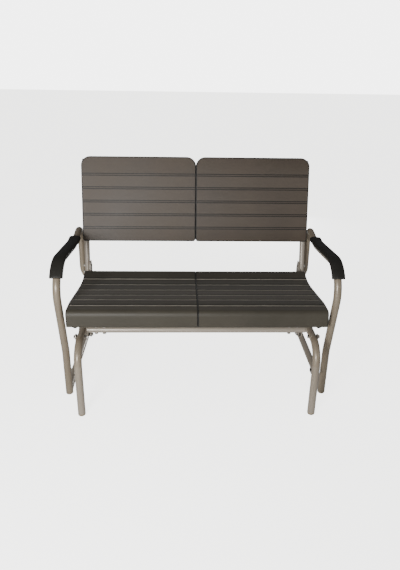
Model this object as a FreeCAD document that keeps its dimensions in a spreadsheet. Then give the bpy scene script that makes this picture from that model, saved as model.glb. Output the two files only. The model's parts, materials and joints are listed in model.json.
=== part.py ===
"""Two-seat glider bench: a steel tube base, and a seat and back that hang from it on four links.

Millimetres. X runs across the bench, Y from the front to the back and Z up from the floor.
The origin is on the floor, in the middle of the bench's width and depth.
Front-to-back places in the sheet are measured from the front of the seat panels.
"""

import FreeCAD, Part
import Sketcher
import math
import os
import re

V = FreeCAD.Vector

SIZES = (
    ("lip_front", -303.8, "from the origin to the front of the seat panels"),
    ("tube_radius", 15.875, "outside radius of the base tubes"),
    ("tube_wall", 1.5, "wall of every tube"),
    ("rail_radius", 12.7, "outside radius of the seat rails, back uprights and front cross tube"),
    ("back_rail_radius", 9.5, "outside radius of the rails behind the back panels"),
    ("slip_gap", 0.15, "radial gap of a tube pushed into another"),
    ("hoop_half", 567.0, "from the middle plane to the side hoops"),
    ("runner_height", 20.0, "height of the runner axis"),
    ("runner_joint", 225.0, "where the hoop ends and the runner goes on"),
    ("runner_back", 645.0, "rear end of the runner"),
    ("spigot_length", 55.0, "reduced front end of the runner"),
    ("arm_leg", 106.0, "axis of the lower part of the arm leg"),
    ("arm_leg_kink", 245.0, "height of the slight bend in the arm leg"),
    ("arm_front", 31.0, "front corner of the arm"),
    ("arm_front_height", 588.0, "height of that corner"),
    ("arm_back_height", 580.0, "height of the arm at the back corner"),
    ("back_plane", 632.0, "axis of the rear uprights and the rear cross tube"),
    ("floor_bend", 60.0, "bend radius at the floor"),
    ("kink_bend", 120.0, "bend radius of the slight bend"),
    ("front_bend", 85.0, "bend radius at the front of the arm"),
    ("back_bend", 60.0, "bend radius at the back of the arm"),
    ("run_bend", 80.0, "bend radius of the front leg and of the rear corner"),
    ("hoop_end", 380.0, "where the hoop's cross end stops, from the middle plane"),
    ("rear_tube_reach", 470.0, "half length of the rear cross tube"),
    ("rear_leg_foot", 610.0, "foot of the rear leg on the runner"),
    ("leg_half", 482.0, "from the middle plane to the front legs"),
    ("leg_front", -68.0, "axis of the front leg"),
    ("cap_height", 12.0, "height of the foot cap below the end of the front leg"),
    ("foot_round", 8.0, "rounding of that cap's sole"),
    ("plug_thick", 3.0, "head of the plugs in open tube ends"),
    ("glide_length", 30.0, "length of the saddles under the runners"),
    ("run_height", 315.0, "height of the run under the seat"),
    ("cross_front", 97.0, "axis of the front cross tube"),
    ("stub_length", 95.0, "length of the stub the front cross tube is pushed over"),
    ("cross_gap", 4.0, "from the run to the end of the front cross tube"),
    ("bolt_inner", 38.0, "first cross bolt, from the inner face of the run"),
    ("bolt_pitch", 34.0, "between the two cross bolts of a joint"),
    ("pivot_front", 35.0, "front pivots at rest"),
    ("pivot_spacing", 340.0, "between the front and the rear pivots"),
    ("link_length", 172.0, "between the two eyes of a link"),
    ("link_width", 24.0, "width of the link and of its eyes"),
    ("link_thick", 4.0, "thickness of the link"),
    ("link_gap", 2.3, "from the run's outer face to the link"),
    ("pin_radius", 4.0, "shank of the pivot bolts"),
    ("pin_play", 0.06, "radial play of the bushings on the bolts"),
    ("bolt_hole", 4.2, "radius of the holes drilled for the bolts"),
    ("hex_radius", 7.5, "corners of the bolt heads and nuts"),
    ("head_height", 5.3, "height of a bolt head"),
    ("nut_height", 5.0, "height of a nut"),
    ("screw_radius", 2.4, "shank of the screws"),
    ("screw_head", 2.5, "height of a screw head"),
    ("bush_radius", 6.5, "sleeve of the bushing"),
    ("flange_radius", 10.0, "flange of the bushing"),
    ("flange_thick", 2.0, "thickness of that flange"),
    ("plate_thick", 4.0, "hangers and corner plates"),
    ("hanger_width", 26.0, "lower end of a hanger"),
    ("hanger_top_width", 64.0, "upper end of a hanger"),
    ("hanger_shift", 21.0, "the front hanger's upper end lies this far behind its pivot"),
    ("rail_height", 373.5, "axis of the seat side rails"),
    ("rail_front", 24.0, "front end of the seat side rails"),
    ("rail_back", 588.0, "rear end of the seat side rails"),
    ("seat_rail_first", 80.0, "front cross rail under the seat"),
    ("seat_rail_second", 398.0, "rear cross rail under the seat"),
    ("upright_half", 530.0, "from the middle plane to the back uprights"),
    ("upright_below", 195.0, "reach of an upright below the lower edge of the back panels"),
    ("upright_above", 385.0, "reach of an upright above that edge"),
    ("back_rail_first", 95.0, "lower rail behind the back panels, above that edge"),
    ("back_rail_second", 305.0, "upper rail behind the back panels, above that edge"),
    ("seat_half", 528.0, "outer edge of the seat panels"),
    ("panel_gap", 5.0, "between the left and the right panels"),
    ("seat_depth", 451.0, "depth of the seat panels"),
    ("lip_bottom", 375.0, "lower edge of the front lip"),
    ("lip_thick", 14.0, "ribs behind the front lip"),
    ("lip_round", 24.0, "rounding over the front edge of the seat"),
    ("seat_crest", 447.0, "highest line of the seat"),
    ("crest_end", 95.0, "where the seat starts to fall"),
    ("seat_dip", 411.0, "lowest line of the seat"),
    ("dip_start", 330.0, "where that line is reached"),
    ("dip_end", 395.0, "where the seat rises again"),
    ("seat_rear_top", 429.0, "rear edge of the seat"),
    ("panel_face", 4.5, "skin of the panels under the grooves' level"),
    ("panel_wall", 3.5, "walls and ribs of the panels"),
    ("rib_inset", 1.5, "the ribs of the back end this far inside its rear edge"),
    ("boss_radius", 6.0, "bosses for the panel screws"),
    ("boss_hole", 16.0, "depth of their holes"),
    ("edge_round", 4.0, "rounding of the panels' visible edges"),
    ("seat_groove_first", 68.0, "first groove of the seat"),
    ("seat_groove_pitch", 66.0, "between two grooves of the seat"),
    ("groove_width", 3.6, "width of each of the two lines of a groove"),
    ("groove_apart", 8.4, "between the two lines of a groove"),
    ("groove_depth", 2.2, "depth of a groove"),
    ("back_half", 545.0, "outer edge of the back panels"),
    ("back_bottom", 555.0, "height of the lower front edge of the back panels"),
    ("back_front", 556.0, "depth of that edge"),
    ("back_length", 400.0, "length of the back panels up the slope"),
    ("back_thick", 24.0, "thickness of the back panels"),
    ("back_lean", 13.0, "lean of the back in degrees"),
    ("back_corner", 45.0, "upper corners of the back panels"),
    ("back_low_corner", 12.0, "lower corners of the back panels"),
    ("back_groove_first", 61.0, "lowest groove of the back, above the lower edge"),
    ("back_groove_pitch", 62.5, "between two grooves of the back"),
    ("pad_half", 28.0, "half width of the arm pads"),
    ("pad_over", 8.5, "height of the arm pads over the tube"),
    ("pad_wrap", 0.52, "share of the front bend that a pad leaves bare"),
    ("pad_round", 10.0, "rounding of a pad's shoulders"),
    ("pad_skirt", 4.0, "reach of a pad below the tube's axis"),
    ("pad_dome", 2.0, "crown of a pad"),
    ("pad_screw_grip", 5.0, "reach of the pad screws into the pads"),
    ("pad_back", 512.0, "rear end of the arm pads"),
)
NAMES = {name for name, value, note in SIZES}
SIDES = (("left", -1), ("right", 1))

doc = FreeCAD.newDocument("glider_bench")
sheet = doc.addObject("Spreadsheet::Sheet", "sizes")
for row, (name, value, note) in enumerate(SIZES, 1):
    sheet.set(f"A{row}", name)
    sheet.set(f"B{row}", str(value))
    sheet.set(f"C{row}", note)
    sheet.setAlias(f"B{row}", name)
doc.recompute()

nodes = []


def full(text):
    """The expression TEXT with its size names pointing at the sheet."""
    return re.sub(r"[a-z_]+", lambda m: f"sizes.{m[0]}" if m[0] in NAMES else m[0], text)


def size(text):
    """The number that the expression TEXT stands for."""
    return float(sheet.evalExpression(full(text)))


def spot(side, across, depth, height):
    """A place given by its distance from the middle plane, from the seat front and from the floor."""
    return V(side * size(across), size(f"lip_front + ({depth})"), size(height))


def keep(feature, label, at=None, turn=None):
    """Name FEATURE, place it and list it for export."""
    feature.Label = label
    feature.Placement = FreeCAD.Placement(at or V(), turn or FreeCAD.Rotation())
    nodes.append(feature)
    return feature


def new_body(label):
    return doc.addObject("PartDesign::Body", label)


def new_sketch(body, role):
    """An empty sketch on one of the body's own planes."""
    sketch = body.newObject("Sketcher::SketchObject", f"{body.Name}_sketch")
    plane = next(part for part in body.Origin.OriginFeatures if part.Role == role)
    sketch.AttachmentSupport = [(plane, "")]
    sketch.MapMode = "FlatFace"
    return sketch


def pin(sketch, kind, where, text):
    """A driving constraint that follows the expression TEXT."""
    index = sketch.addConstraint(Sketcher.Constraint(kind, *where, size(text)))
    sketch.setExpression(f"Constraints[{index}]", full(text))


def add_circle(sketch, radius, across="0", up="0"):
    centre = V(size(across), size(up), 0)
    index = sketch.addGeometry(Part.Circle(centre, V(0, 0, 1), size(radius)))
    pin(sketch, "Radius", (index,), radius)
    if across == up == "0":
        sketch.addConstraint(Sketcher.Constraint("Coincident", index, 3, -1, 1))
    else:
        pin(sketch, "DistanceX", (-1, 1, index, 3), across)
        pin(sketch, "DistanceY", (-1, 1, index, 3), up)


def add_outline(sketch, corners):
    """A closed outline whose corners follow pairs of expressions."""
    points = [V(size(across), size(up), 0) for across, up in corners]
    first = sketch.GeometryCount
    count = len(points)
    for number in range(count):
        sketch.addGeometry(Part.LineSegment(points[number], points[(number + 1) % count]))
    for number in range(count):
        line = first + number
        following = first + (number + 1) % count
        sketch.addConstraint(Sketcher.Constraint("Coincident", line, 2, following, 1))
        pin(sketch, "DistanceX", (-1, 1, line, 1), corners[number][0])
        pin(sketch, "DistanceY", (-1, 1, line, 1), corners[number][1])


def add_round_box(sketch, inset, width, height, upper, lower):
    """A box of WIDTH by HEIGHT from the origin with rounded corners, drawn INSET inside its edge."""
    left, low = size(inset), size(inset)
    right, high = size(f"{width} - {inset}"), size(f"{height} - {inset}")
    corners = (
        (right, high, f"{upper} - {inset}", 0), (left, high, f"{upper} - {inset}", 1),
        (left, low, f"{lower} - {inset}", 2), (right, low, f"{lower} - {inset}", 3),
    )
    arcs = []
    for across, up, radius, quarter in corners:
        bend = size(radius)
        centre = V(across + (bend if across == left else -bend), up + (bend if up == low else -bend), 0)
        start = quarter * math.pi / 2
        arcs.append(sketch.addGeometry(
            Part.ArcOfCircle(Part.Circle(centre, V(0, 0, 1), bend), start, start + math.pi / 2)))
        pin(sketch, "Radius", (arcs[-1],), radius)
    sides = (
        ("Horizontal", "DistanceY", f"{height} - {inset}"), ("Vertical", "DistanceX", inset),
        ("Horizontal", "DistanceY", inset), ("Vertical", "DistanceX", f"{width} - {inset}"),
    )
    for number, (lie, distance, text) in enumerate(sides):
        before, after = arcs[number], arcs[(number + 1) % 4]
        ends = [sketch.getPoint(before, 2), sketch.getPoint(after, 1)]
        line = sketch.addGeometry(Part.LineSegment(*ends))
        sketch.addConstraint(Sketcher.Constraint("Tangent", before, 2, line, 1))
        sketch.addConstraint(Sketcher.Constraint("Tangent", line, 2, after, 1))
        sketch.addConstraint(Sketcher.Constraint(lie, line))
        pin(sketch, distance, (-1, 1, line, 1), text)


def extrude(body, sketch, length, kind="Pad", back=False):
    """A pad or a pocket of the sketch."""
    feature = body.newObject(f"PartDesign::{kind}", f"{body.Name}_{kind.lower()}")
    feature.Profile = sketch
    feature.Reversed = back
    feature.setExpression("Length", full(length))
    sketch.Visibility = False
    return feature


def ring(label, outer, inner, length):
    """A body turned about +Z: a disc, a sleeve or a straight tube."""
    body = new_body(label)
    sketch = new_sketch(body, "XY_Plane")
    add_circle(sketch, outer)
    if inner:
        add_circle(sketch, inner)
    extrude(body, sketch, length)
    return body


def step_on(body, outer, inner, length, back=False):
    """A further ring on the body's base plane."""
    sketch = new_sketch(body, "XY_Plane")
    add_circle(sketch, outer)
    if inner:
        add_circle(sketch, inner)
    return extrude(body, sketch, length, back=back)


def along(direction):
    """The turn that lays +Z along DIRECTION."""
    return FreeCAD.Rotation(V(0, 0, 1), direction)


def rounded(body, radius, wanted):
    """Round the edges of the body's last shape for which WANTED(edge) is true."""
    doc.recompute()
    shape = body.Tip.Shape
    picked = [f"Edge{number}" for number, edge in enumerate(shape.Edges, 1) if wanted(edge)]
    base = body.Tip
    feature = body.newObject("PartDesign::Fillet", f"{body.Name}_fillet")
    feature.Base = (base, picked)
    feature.setExpression("Radius", full(radius))
    return feature


def copies(label, pattern, places):
    """One node made of the same piece at several places."""
    doc.recompute()
    shapes = []
    for at, turn in places:
        shape = pattern.Shape.copy()
        shape.Placement = FreeCAD.Placement(at, turn)
        shapes.append(shape)
    group = doc.addObject("Part::Feature", label)
    group.Shape = Part.makeCompound(shapes)
    return keep(group, label)


def trimmed(label, body, at, turn, tools):
    """A node whose body is placed, then cut by tools that already stand in place."""
    body.Placement = FreeCAD.Placement(at, turn)
    tool = doc.addObject("Part::Feature", f"{label}_cuts")
    tool.Shape = Part.makeCompound(tools)
    cut = doc.addObject("Part::Cut", label)
    cut.Base = body
    cut.Tool = tool
    return keep(cut, label)


def plain(label, shape, at=None, turn=None):
    """A node whose shape is made directly, for bends and joints that leave one plane."""
    feature = doc.addObject("Part::Feature", label)
    feature.Shape = shape
    return keep(feature, label, at, turn)


def rounded_path(corners, radii):
    """The edges of a path through CORNERS, each inner corner bent to its radius."""
    edges = []
    start = corners[0]
    for before, corner, after, radius in zip(corners, corners[1:], corners[2:], radii):
        incoming = (before - corner).normalize()
        outgoing = (after - corner).normalize()
        half = incoming.getAngle(outgoing) / 2
        enter = corner + incoming * (radius / math.tan(half))
        leave = corner + outgoing * (radius / math.tan(half))
        middle = corner + (incoming + outgoing).normalize() * (radius / math.sin(half) - radius)
        edges.append(Part.LineSegment(start, enter).toShape())
        edges.append(Part.Arc(enter, middle, leave).toShape())
        start = leave
    edges.append(Part.LineSegment(start, corners[-1]).toShape())
    return edges


def rod(edges, radius):
    """A round bar of the given radius along joined edges."""
    path = Part.Wire(edges)
    start = path.OrderedVertexes[0].Point
    heading = path.OrderedEdges[0].tangentAt(path.OrderedEdges[0].FirstParameter)
    circle = Part.Wire(Part.Circle(start, heading, radius).toShape())
    return path.makePipeShell([circle], True, False)


def bar(start, end, radius):
    """A straight round bar from START to END."""
    return Part.makeCylinder(radius, start.distanceToPoint(end), start, end - start)


tube_radius = size("tube_radius")
bore_radius = size("tube_radius - tube_wall")
X_AXIS = V(1, 0, 0)
Y_AXIS = V(0, 1, 0)
Z_AXIS = V(0, 0, 1)
PIVOT_DEPTHS = ("pivot_front", "pivot_front + pivot_spacing")
SEAT_CELLS = 5
BACK_CELLS = 4
BACK_ROWS = 3
SEAT_GROOVES = 6
BACK_GROOVES = 5
hoop_paths = {}
hoop_solids = {}
run_solids = {}
plug_places = []


def side_hoops():
    """Floor end, arm leg, arm, rear upright and the inward end of each side, in one bent tube."""
    bends = [size(name) for name in ("floor_bend", "kink_bend", "front_bend", "back_bend", "run_bend")]
    for name, side in SIDES:
        corners = [
            spot(side, "hoop_half", "runner_joint", "runner_height"),
            spot(side, "hoop_half", "arm_leg", "runner_height"),
            spot(side, "hoop_half", "arm_leg", "arm_leg_kink"),
            spot(side, "hoop_half", "arm_front", "arm_front_height"),
            spot(side, "hoop_half", "back_plane", "arm_back_height"),
            spot(side, "hoop_half", "back_plane", "run_height"),
            spot(side, "hoop_end", "back_plane", "run_height"),
        ]
        edges = rounded_path(corners, bends)
        solid = rod(edges, tube_radius)
        hoop_paths[side] = edges
        hoop_solids[side] = solid
        tube = solid.cut(rod(edges, bore_radius))
        holes = [cross_hole(side, f"hoop_end + 20 + {step} * bolt_pitch", "back_plane") for step in (0, 1)]
        holes.append(joint_hole(side))
        holes += [pad_hole(at) for at in pad_screw_places(side)]
        plain(f"side_hoop_{name}", tube.cut(Part.makeCompound(holes)))


def joint_place(side):
    """Under the overlap of a hoop and its runner."""
    return spot(side, "hoop_half", "runner_joint - spigot_length / 2", "runner_height - tube_radius")


def joint_hole(side):
    at = joint_place(side)
    return bar(at - Z_AXIS, at + Z_AXIS * tube_radius, size("screw_radius + 0.3"))


def pad_screw_places(side):
    """Under the arm, below the two screws of its pad."""
    slope = size("(arm_back_height - arm_front_height) / (back_plane - arm_front)")
    places = []
    for depth in ("arm_front + 160", "pad_back - 60"):
        at = spot(side, "hoop_half", depth, "arm_front_height - tube_radius - 0.1")
        places.append(at + Z_AXIS * slope * size(f"({depth}) - arm_front"))
    return places


def pad_hole(at):
    return bar(at - Z_AXIS, at + Z_AXIS * size("2 * tube_radius + 1"), size("screw_radius + 0.3"))


def cross_hole(side, across, depth):
    """An upright drill through a cross joint."""
    low = spot(side, across, depth, "run_height - 2 * tube_radius")
    return bar(low, low + Z_AXIS * size("4 * tube_radius"), size("bolt_hole"))


def front_legs():
    """Foot, upright and the run that carries the pivots: one tube bent once."""
    for name, side in SIDES:
        body = new_body(f"front_leg_tube_{name}")
        path = new_sketch(body, "YZ_Plane")
        rise = size("run_height - cap_height")
        bend = size("run_bend")
        reach = size("back_plane - leg_front")
        upright = path.addGeometry(Part.LineSegment(V(), V(0, rise - bend, 0)))
        circle = Part.Circle(V(bend, rise - bend, 0), Z_AXIS, bend)
        corner = path.addGeometry(Part.ArcOfCircle(circle, math.pi / 2, math.pi))
        run = path.addGeometry(Part.LineSegment(V(bend, rise, 0), V(reach, rise, 0)))
        path.addConstraint(Sketcher.Constraint("Coincident", upright, 1, -1, 1))
        path.addConstraint(Sketcher.Constraint("Vertical", upright))
        path.addConstraint(Sketcher.Constraint("Tangent", upright, 2, corner, 2))
        path.addConstraint(Sketcher.Constraint("Tangent", corner, 1, run, 1))
        path.addConstraint(Sketcher.Constraint("Horizontal", run))
        pin(path, "Radius", (corner,), "run_bend")
        pin(path, "DistanceX", (-1, 1, run, 2), "back_plane - leg_front")
        pin(path, "DistanceY", (-1, 1, run, 2), "run_height - cap_height")
        section = new_sketch(body, "XY_Plane")
        add_circle(section, "tube_radius")
        add_circle(section, "tube_radius - tube_wall")
        pipe = body.newObject("PartDesign::AdditivePipe", f"{body.Name}_pipe")
        pipe.Profile = section
        pipe.Spine = (path, ["Edge1", "Edge2", "Edge3"])
        run_start = spot(side, "leg_half", "leg_front", "run_height")
        run_end = spot(side, "leg_half", "back_plane", "run_height")
        run_solids[side] = bar(run_start, run_end, tube_radius)
        drills = [
            bar(spot(side, "leg_half - 2 * tube_radius", depth, "run_height"),
                spot(side, "leg_half + 2 * tube_radius", depth, "run_height"), size("bolt_hole"))
            for depth in PIVOT_DEPTHS
        ]
        trimmed(f"front_leg_{name}", body, spot(side, "leg_half", "leg_front", "cap_height"),
                FreeCAD.Rotation(), [hoop_solids[side], *drills])


def foot_caps():
    """Caps of the front feet: a rounded sole and a stem inside the tube."""
    for name, side in SIDES:
        body = ring(f"foot_cap_{name}", "tube_radius", None, "cap_height")
        step_on(body, "tube_radius - tube_wall - slip_gap", None, "cap_height + 18")
        rounded(body, "foot_round", lambda edge: edge.BoundBox.ZMax < 0.1)
        keep(body, f"foot_cap_{name}", spot(side, "leg_half", "leg_front", "0"))


def cross_tubes():
    """The front cross tube over stubs on the runs, the rear one inside the hoop ends, and their bolts."""
    for name, side in SIDES:
        start = spot(side, "leg_half", "cross_front", "run_height")
        stub = ring(f"cross_stub_blank_{name}", "rail_radius - tube_wall - slip_gap",
                    "rail_radius - 2 * tube_wall - slip_gap", "tube_radius + stub_length")
        holes = [
            cross_hole(side, f"leg_half - tube_radius - bolt_inner - {step} * bolt_pitch", "cross_front")
            for step in (0, 1)
        ]
        trimmed(f"cross_stub_{name}", stub, start, outward(-side), [run_solids[side], *holes])
    joints = (
        ("front", "rail_radius", "leg_half - tube_radius - cross_gap", "cross_front",
         "leg_half - tube_radius - bolt_inner - bolt_pitch", "rail_radius"),
        ("rear", "tube_radius - tube_wall - slip_gap", "rear_tube_reach", "back_plane",
         "hoop_end + 20", "tube_radius"),
    )
    nut_places = []
    for row, radius, half, depth, first, outside in joints:
        joint = [(side, f"{first} + {step} * bolt_pitch") for name, side in SIDES for step in (0, 1)]
        tube = ring(f"{row}_cross_blank", radius, f"{radius} - tube_wall", f"2 * ({half})")
        trimmed(f"{row}_cross_tube", tube, spot(-1, half, depth, "run_height"), along(X_AXIS),
                [cross_hole(side, across, depth) for side, across in joint])
        pattern = bolt(f"{row}_cross_bolt", f"2 * {outside} + nut_height + 1")
        copies(f"{row}_cross_bolts", pattern, [
            (spot(side, across, depth, f"run_height - {outside}"), upright()) for side, across in joint
        ])
        nut_places += [
            (spot(side, across, depth, f"run_height + {outside}"), upright()) for side, across in joint
        ]
    copies("cross_nuts", nut("cross_nut"), nut_places)


def runners():
    """Floor tubes behind the arm legs, each with a reduced front end inside the hoop."""
    plug = tube_plug("runner_plug", "tube_radius")
    for name, side in SIDES:
        body = ring(f"runner_blank_{name}", "tube_radius", "tube_radius - tube_wall", "runner_back - runner_joint")
        step_on(body, "tube_radius", "tube_radius - 2 * tube_wall - slip_gap", "spigot_length / 8")
        step_on(body, "tube_radius - tube_wall - slip_gap", "tube_radius - 2 * tube_wall - slip_gap",
                "spigot_length", back=True)
        trimmed(f"runner_{name}", body, spot(side, "hoop_half", "runner_joint", "runner_height"),
                along(Y_AXIS), [joint_hole(side)])
    copies("runner_plugs", plug, [
        (spot(side, "hoop_half", "runner_back", "runner_height"), along(Y_AXIS)) for name, side in SIDES
    ])
    copies("runner_joint_screws", screw("runner_joint_screw", "2 * tube_wall + 4"), [
        (joint_place(side), upright()) for name, side in SIDES
    ])


def rear_legs():
    """Straight legs from the runners up to the rear corners of the hoops."""
    slant = size("run_bend") * math.sqrt(0.5)
    for name, side in SIDES:
        foot = spot(side, "hoop_half", "rear_leg_foot", "runner_height")
        head = spot(side, "hoop_half - run_bend", "back_plane", "run_height + run_bend")
        head = head + V(side * slant, 0, -slant)
        runner = bar(foot - Y_AXIS * 40, foot + Y_AXIS * 40, tube_radius)
        leg = ring(f"rear_leg_blank_{name}", "rail_radius", "rail_radius - tube_wall", "rear_leg_foot")
        leg.Tip.setExpression("Length", None)
        leg.Tip.Length = foot.distanceToPoint(head)
        trimmed(f"rear_leg_{name}", leg, foot, along(head - foot), [hoop_solids[side], runner])


def glides():
    """Saddles under the floor tubes, with flat soles."""
    body = new_body("runner_glide")
    section = new_sketch(body, "YZ_Plane")
    half = "runner_height"
    add_outline(section, (
        (f"-{half}", "0"), (f"-{half}", "6 - runner_height"), (f"6 - {half}", f"-{half}"),
        (f"{half} - 6", f"-{half}"), (half, "6 - runner_height"), (half, "0"),
    ))
    extrude(body, section, "glide_length")
    seat = new_sketch(body, "YZ_Plane")
    add_circle(seat, "tube_radius")
    extrude(body, seat, "glide_length", kind="Pocket", back=True)
    turn = FreeCAD.Rotation(Z_AXIS, 90)
    places = [
        (spot(side, "hoop_half", depth, "runner_height"), turn)
        for name, side in SIDES for depth in ("runner_joint + 10", "rear_leg_foot + 18")
    ]
    copies("runner_glides", body, places)


def arm_pads():
    """Moulded grips over the arms, wrapped around the front bend."""
    for name, side in SIDES:
        edges = hoop_paths[side]
        bend = edges[5].Curve
        first, last = edges[5].ParameterRange
        start = first + (last - first) * size("pad_wrap")
        arc = Part.ArcOfCircle(bend, start, last).toShape()
        straight_end = spot(side, "hoop_half", "pad_back", "0")
        straight = edges[6].Curve
        behind = straight.parameter(straight_end + Z_AXIS * size("arm_back_height"))
        straight = Part.LineSegment(arc.valueAt(arc.LastParameter), straight.value(behind)).toShape()
        origin = arc.valueAt(arc.FirstParameter)
        up = (origin - bend.Center).normalize()
        half = size("pad_half")
        top = size("tube_radius + pad_over")

        def section_point(across, height):
            return origin + X_AXIS * (across * half) + up * height

        shoulder = top - size("pad_round")
        skirt = -size("pad_skirt")
        inset = 1 - size("pad_round") / half
        curve = size("pad_round") * (1 - math.sqrt(0.5))
        outline = Part.Wire([
            Part.LineSegment(section_point(-1, skirt), section_point(-1, shoulder)).toShape(),
            Part.Arc(section_point(-1, shoulder), section_point(-1 + curve / half, top - curve),
                     section_point(-inset, top)).toShape(),
            Part.Arc(section_point(-inset, top), section_point(0, top + size("pad_dome")),
                     section_point(inset, top)).toShape(),
            Part.Arc(section_point(inset, top), section_point(1 - curve / half, top - curve),
                     section_point(1, shoulder)).toShape(),
            Part.LineSegment(section_point(1, shoulder), section_point(1, skirt)).toShape(),
            Part.LineSegment(section_point(1, skirt), section_point(-1, skirt)).toShape(),
        ])
        path = Part.Wire([arc, straight])
        pad = path.makePipeShell([outline], True, False)
        pad = pad.cut(rod([arc, straight], tube_radius))
        rise = Z_AXIS * size("2 * tube_radius + pad_screw_grip")
        holes = [bar(at, at + rise, size("screw_radius")) for at in pad_screw_places(side)]
        pad = pad.cut(Part.makeCompound(holes))
        plain(f"arm_pad_{name}", max(pad.Solids, key=lambda solid: solid.Volume))
    copies("arm_pad_screws", screw("arm_pad_screw", "2 * tube_radius + pad_screw_grip"), [
        (at, upright()) for name, side in SIDES for at in pad_screw_places(side)
    ])


def hexagon(sketch, radius):
    """A regular six-sided outline around the origin."""
    half, side = f"{radius} / 2", f"{radius} * 0.866"
    add_outline(sketch, (
        (radius, "0"), (half, side), (f"-{half}", side),
        (f"-{radius}", "0"), (f"-{half}", f"-{side}"), (half, f"-{side}"),
    ))


def bolt(label, length):
    """A hexagon bolt: the head below the base plane, the shank above it."""
    body = new_body(label)
    sketch = new_sketch(body, "XY_Plane")
    hexagon(sketch, "hex_radius")
    extrude(body, sketch, "head_height", back=True)
    step_on(body, "pin_radius", None, length)
    return body


def nut(label):
    body = new_body(label)
    sketch = new_sketch(body, "XY_Plane")
    hexagon(sketch, "hex_radius")
    add_circle(sketch, "pin_radius")
    extrude(body, sketch, "nut_height")
    return body


def tube_plug(label, radius):
    """A plug for an open tube end: the head above the base plane, the stem below it."""
    body = ring(label, radius, None, "plug_thick")
    step_on(body, f"{radius} - tube_wall", None, "3 * plug_thick", back=True)
    return body


def screw(label, length):
    """A pan-head screw: the head below the base plane, the shank above it."""
    body = ring(label, "screw_radius", None, length)
    step_on(body, "2 * screw_radius + 0.4", None, "screw_head", back=True)
    return body


def outward(side):
    return along(X_AXIS * side)


def upright():
    return FreeCAD.Rotation()


def each_pivot(across, height):
    """The same place at all four corners, with the turn that looks outward."""
    return [
        (spot(side, across, depth, height), outward(side))
        for name, side in SIDES for depth in PIVOT_DEPTHS
    ]


def upper_pivots():
    """Bolts through the runs, with their nuts outside the links."""
    reach = "2 * tube_radius + link_gap + link_thick + flange_thick"
    copies("upper_pivot_bolts", bolt("upper_pivot_bolt", f"{reach} + nut_height + 1"),
           each_pivot("leg_half - tube_radius", "run_height"))
    copies("upper_pivot_nuts", nut("upper_pivot_nut"),
           each_pivot(f"leg_half - tube_radius + {reach} + 0.3", "run_height"))


def links():
    """The four links, each a flat bar with two round eyes, and their flanged bushings."""
    inner = "leg_half + tube_radius + link_gap"
    outer = f"{inner} + link_thick"
    for name, side in SIDES:
        for row, depth in zip(("front", "rear"), PIVOT_DEPTHS):
            label = f"link_{row}_{name}"
            body = new_body(label)
            for height in ("0", "-link_length"):
                eye = new_sketch(body, "YZ_Plane")
                add_circle(eye, "link_width / 2", "0", height)
                extrude(body, eye, "link_thick")
            waist = new_sketch(body, "YZ_Plane")
            half = "link_width * 0.4"
            add_outline(waist, (
                (half, "0"), (half, "-link_length"), (f"-{half}", "-link_length"), (f"-{half}", "0"),
            ))
            extrude(body, waist, "link_thick")
            bores = new_sketch(body, "YZ_Plane")
            add_circle(bores, "bush_radius")
            add_circle(bores, "bush_radius", "0", "-link_length")
            extrude(body, bores, "link_thick", kind="Pocket", back=True)
            keep(body, label, spot(side, inner if side > 0 else outer, depth, "run_height"))
            half_bush = ring(f"bushing_{row}_{name}", "bush_radius", "pin_radius + pin_play", "link_thick / 2")
            step_on(half_bush, "flange_radius", "pin_radius + pin_play", "flange_thick", back=True)
            places = []
            for height in ("run_height", "run_height - link_length"):
                places.append((spot(side, inner, depth, height), outward(side)))
                places.append((spot(side, outer, depth, height), outward(-side)))
            copies(f"link_bushings_{row}_{name}", half_bush, places)


def hangers():
    """Plates welded to the seat rails that carry the lower pivots, and the black spacers beside them."""
    low = "run_height - link_length"
    for name, side in SIDES:
        for row, depth, shift in (("front", PIVOT_DEPTHS[0], "hanger_shift"), ("rear", PIVOT_DEPTHS[1], "0")):
            label = f"hanger_{row}_{name}"
            body = new_body(label)
            blank = new_sketch(body, "YZ_Plane")
            half, top = "hanger_width / 2", "hanger_top_width / 2"
            head = f"rail_height + 6 - ({low})"
            add_outline(blank, (
                (f"-{half}", "0"), (half, "0"), (f"{shift} + {top}", f"{head} - 26"),
                (f"{shift} + {top}", head), (f"{shift} - {top}", head), (f"{shift} - {top}", f"{head} - 26"),
            ))
            extrude(body, blank, "plate_thick")
            end = new_sketch(body, "YZ_Plane")
            add_circle(end, half)
            extrude(body, end, "plate_thick")
            hole = new_sketch(body, "YZ_Plane")
            add_circle(hole, "bolt_hole")
            extrude(body, hole, "plate_thick", kind="Pocket", back=True)
            edge = "upright_half - rail_radius"
            across = f"{edge} - plate_thick" if side > 0 else edge
            keep(body, label, spot(side, across, depth, low))
    inner = "leg_half + tube_radius + link_gap"
    spacer_start = f"{inner} + link_thick + flange_thick + 0.3"
    spacer = ring("pivot_spacer", "flange_radius - 1", "bolt_hole",
                  f"upright_half - rail_radius - plate_thick - ({spacer_start})")
    copies("lower_pivot_spacers", spacer, each_pivot(spacer_start, low))
    shank_start = f"{inner} - flange_thick - 0.3"
    lower = bolt("lower_pivot_bolt", f"upright_half - rail_radius + nut_height + 1 - ({shank_start})")
    copies("lower_pivot_bolts", lower, each_pivot(shank_start, low))
    copies("lower_pivot_nuts", nut("lower_pivot_nut"), each_pivot("upright_half - rail_radius", low))


def slope_frame():
    """The placement of the back: its X along the bench, its Z up the slope."""
    return FreeCAD.Placement(spot(1, "0", "back_front", "back_bottom"),
                             FreeCAD.Rotation(X_AXIS, -size("back_lean")))


def on_slope(side, across, off, up):
    """A place on the back: across, behind the front face and up the slope."""
    return slope_frame().multVec(V(side * size(across), size(off), size(up)))


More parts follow.
